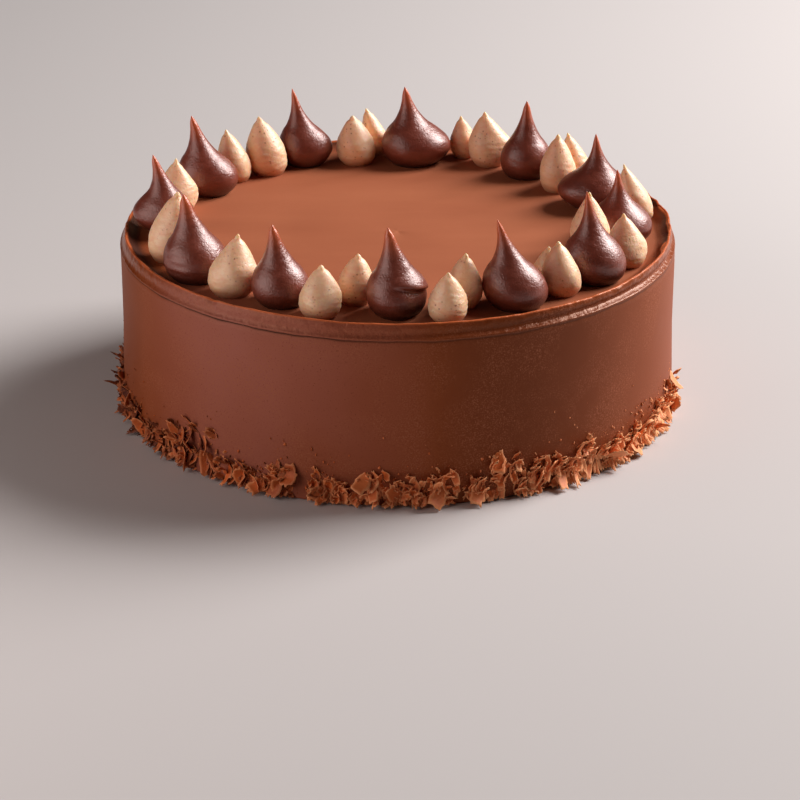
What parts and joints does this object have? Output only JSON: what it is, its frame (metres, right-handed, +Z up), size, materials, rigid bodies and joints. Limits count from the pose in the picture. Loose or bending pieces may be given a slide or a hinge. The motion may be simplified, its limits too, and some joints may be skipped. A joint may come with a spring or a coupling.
{
  "type": "chocolate cake",
  "caption": "Round chocolate cake, iced all over, with a lip round its flat top, a ring of piped dark and pale drops, and chocolate flakes round its foot.",
  "frame": {"origin": "centre of the cake's flat base, on the surface that it stands on", "axes": "+Z up through the top, -Y towards the side that the picture shows, +X to the picture's right"},
  "size_m": [0.2116, 0.2104, 0.0938],
  "materials": {
    "icing": "satin",
    "dark_cream": "satin",
    "pale_cream": "matte"
  },
  "bodies": {
    "root": {"cake": "icing", "dark_drop_01": "dark_cream", "dark_drop_02": "dark_cream", "dark_drop_03": "dark_cream", "dark_drop_04": "dark_cream", "dark_drop_05": "dark_cream", "dark_drop_06": "dark_cream", "dark_drop_07": "dark_cream", "dark_drop_08": "dark_cream", "dark_drop_09": "dark_cream", "dark_drop_10": "dark_cream", "dark_drop_11": "dark_cream", "dark_drop_12": "dark_cream", "pale_drop_01": "pale_cream", "pale_drop_02": "pale_cream", "pale_drop_03": "pale_cream", "pale_drop_04": "pale_cream", "pale_drop_05": "pale_cream", "pale_drop_06": "pale_cream", "pale_drop_07": "pale_cream", "pale_drop_08": "pale_cream", "pale_drop_09": "pale_cream", "pale_drop_10": "pale_cream", "pale_drop_11": "pale_cream", "pale_drop_12": "pale_cream", "pale_drop_13": "pale_cream", "pale_drop_14": "pale_cream", "pale_drop_15": "pale_cream", "pale_drop_16": "pale_cream", "pale_drop_17": "pale_cream", "pale_drop_18": "pale_cream", "pale_drop_19": "pale_cream", "pale_drop_20": "pale_cream"}
  },
  "joints": []
}
